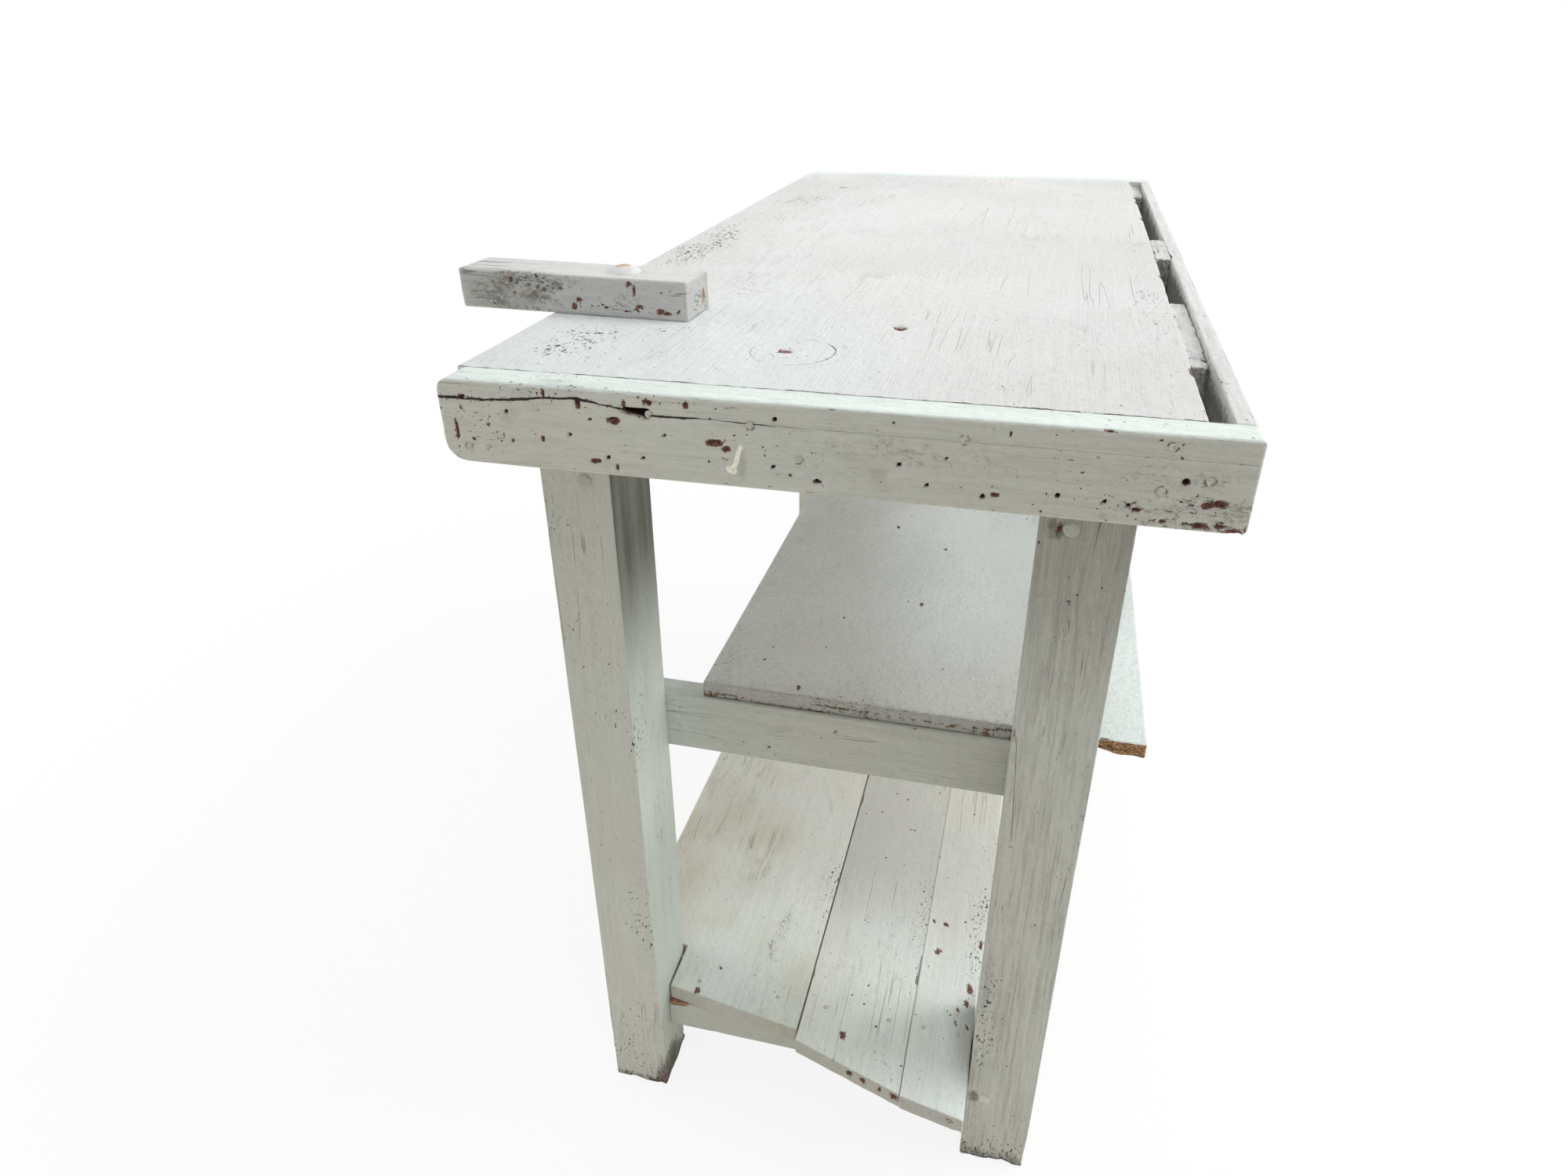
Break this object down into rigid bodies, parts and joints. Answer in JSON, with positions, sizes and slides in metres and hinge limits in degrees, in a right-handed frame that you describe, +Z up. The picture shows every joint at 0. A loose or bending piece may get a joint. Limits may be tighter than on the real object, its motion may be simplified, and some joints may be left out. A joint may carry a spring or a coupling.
{
  "type": "workbench",
  "caption": "Small carpenter's workbench on square legs: thick board top with end caps, rear tool slots, a turning stop block, loose shelf and plank floor.",
  "frame": {"origin": "on the floor, in the middle of the whole bench", "axes": "+X out of the near end, +Y to the back where the tool slots are, +Z up"},
  "size_m": [1.1735, 0.6137, 0.8875],
  "materials": {
    "painted_wood": "matte chalky grey-green paint on old timber, brushed, chipped to brown wood",
    "painted_top": "near white worn paint on the top, satin from use",
    "painted_plank": "matte cream-grey paint with worm holes and brown stains",
    "painted_chipboard": "matte paint over chipboard, raw orange-brown at broken edges",
    "painted_peg": "matte paint over end grain",
    "painted_iron": "painted over, rusty yellow where worn",
    "dull_iron": "dull dark iron with rust",
    "rusty_nail": "old steel nails, painted over or rusted"
  },
  "bodies": {
    "bench": {"top_slab": "painted_top", "near_end_cap": "painted_wood", "far_end_cap": "painted_wood", "back_rail": "painted_wood", "near_spacer": "painted_top", "middle_spacer": "painted_top", "far_spacer": "painted_top", "near_front_leg": "painted_wood", "near_back_leg": "painted_wood", "far_front_leg": "painted_wood", "far_back_leg": "painted_wood", "front_side_rail": "painted_wood", "back_side_rail": "painted_wood", "near_shelf_rail": "painted_wood", "far_shelf_rail": "painted_wood", "near_foot_rail": "painted_wood", "far_foot_rail": "painted_wood", "floor_plank_one": "painted_plank", "floor_plank_two": "painted_plank", "floor_plank_three": "painted_plank", "rail_dowels": "painted_peg", "foot_pegs": "painted_peg", "cap_nails": "rusty_nail", "back_rail_nails": "rusty_nail", "shelf_rail_nails": "rusty_nail", "plank_nails": "rusty_nail", "hook_nail": "rusty_nail"},
    "stop": {"stop_block": "painted_wood", "pivot_bolt": "painted_iron", "pivot_washer": "dull_iron", "pivot_nut": "dull_iron"},
    "shelf": {"shelf_panel": "painted_chipboard"}
  },
  "joints": [
    {"name": "stop_turn", "type": "hinge", "parent": "bench", "child": "stop", "pos_m": [0.375, -0.16412, 0.85], "axis": [0, 0, 1], "continuous": true},
    {"name": "shelf_lift", "type": "slide", "parent": "bench", "child": "shelf", "axis": [0, 0, 1], "range_m": [0, 0.15]}
  ]
}
